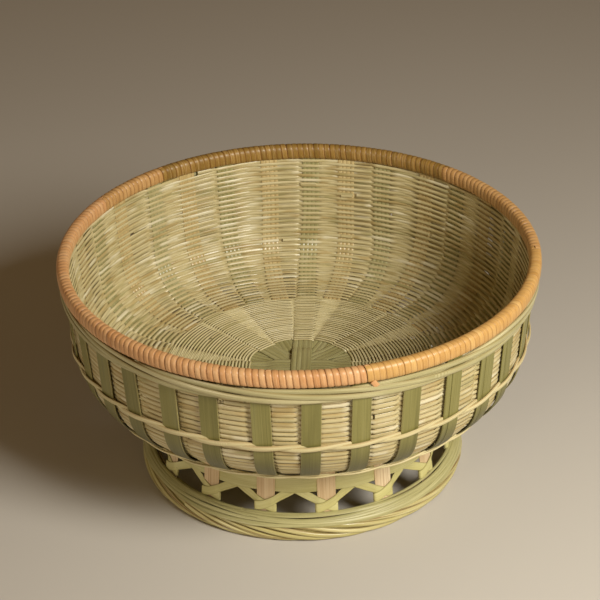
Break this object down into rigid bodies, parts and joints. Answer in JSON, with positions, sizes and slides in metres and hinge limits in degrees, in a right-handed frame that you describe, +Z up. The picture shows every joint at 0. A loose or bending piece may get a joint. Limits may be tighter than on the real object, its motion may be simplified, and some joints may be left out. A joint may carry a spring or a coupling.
{
  "type": "bread basket",
  "caption": "Round woven bamboo bread basket with a flared wall, a cane-wound rim and an openwork foot of uprights and crossing strips on a thick border.",
  "frame": {"origin": "middle of the foot's underside, on the table plane", "axes": "+Z up along the basket's axis, out of the bowl's mouth; -Y towards the front of the picture"},
  "size_m": [0.26, 0.26, 0.1302],
  "materials": {
    "straw": "split straw-coloured bamboo, dry and matt",
    "pale_straw": "pale split bamboo wefts with a slight sheen",
    "green_skin": "olive-green bamboo skin, satin",
    "pale_green": "pale yellow-green bamboo strips, satin",
    "pink_tan": "pinkish tan bamboo with a visible grain, matt",
    "amber_cane": "amber cane winding, slightly glossy"
  },
  "bodies": {
    "root": {"base_splint_1": "green_skin", "base_splint_2": "green_skin", "base_splint_3": "green_skin", "base_splint_4": "green_skin", "base_splint_5": "green_skin", "base_splint_6": "green_skin", "base_splint_7": "green_skin", "base_splint_8": "green_skin", "added_stake_1": "straw", "added_stake_2": "straw", "added_stake_3": "straw", "added_stake_4": "straw", "added_stake_5": "straw", "added_stake_6": "straw", "added_stake_7": "straw", "added_stake_8": "straw", "added_stake_9": "straw", "added_stake_10": "straw", "added_stake_11": "straw", "added_stake_12": "straw", "added_stake_13": "straw", "added_stake_14": "straw", "added_stake_15": "straw", "added_stake_16": "straw", "floor_weave_upper": "straw", "floor_weave_lower": "straw", "wall_weave_inner": "pale_straw", "wall_weave_outer": "pale_straw", "outer_stakes": "green_skin", "rim_inner_hoop": "straw", "rim_binding": "amber_cane", "top_band_lower": "pale_green", "top_band_upper": "pale_green", "mid_band_lower": "pale_straw", "mid_band_upper": "pale_straw", "low_band": "pale_straw", "foot_upright_1": "pink_tan", "foot_upright_2": "pink_tan", "foot_upright_3": "pink_tan", "foot_upright_4": "pink_tan", "foot_upright_5": "pink_tan", "foot_upright_6": "pink_tan", "foot_upright_7": "pink_tan", "foot_upright_8": "pink_tan", "foot_upright_9": "pink_tan", "foot_upright_10": "pink_tan", "foot_upright_11": "pink_tan", "foot_upright_12": "pink_tan", "foot_upright_13": "pink_tan", "foot_upright_14": "pink_tan", "foot_upright_15": "pink_tan", "foot_upright_16": "pink_tan", "foot_hoop": "pale_green", "foot_trellis": "pale_green", "foot_inner_band": "straw", "foot_ring_strip_lower": "pale_green", "foot_ring_strip_upper": "pale_green", "foot_border_lower": "pale_green", "foot_border_middle": "pale_green", "foot_border_upper": "pale_green"}
  },
  "joints": []
}
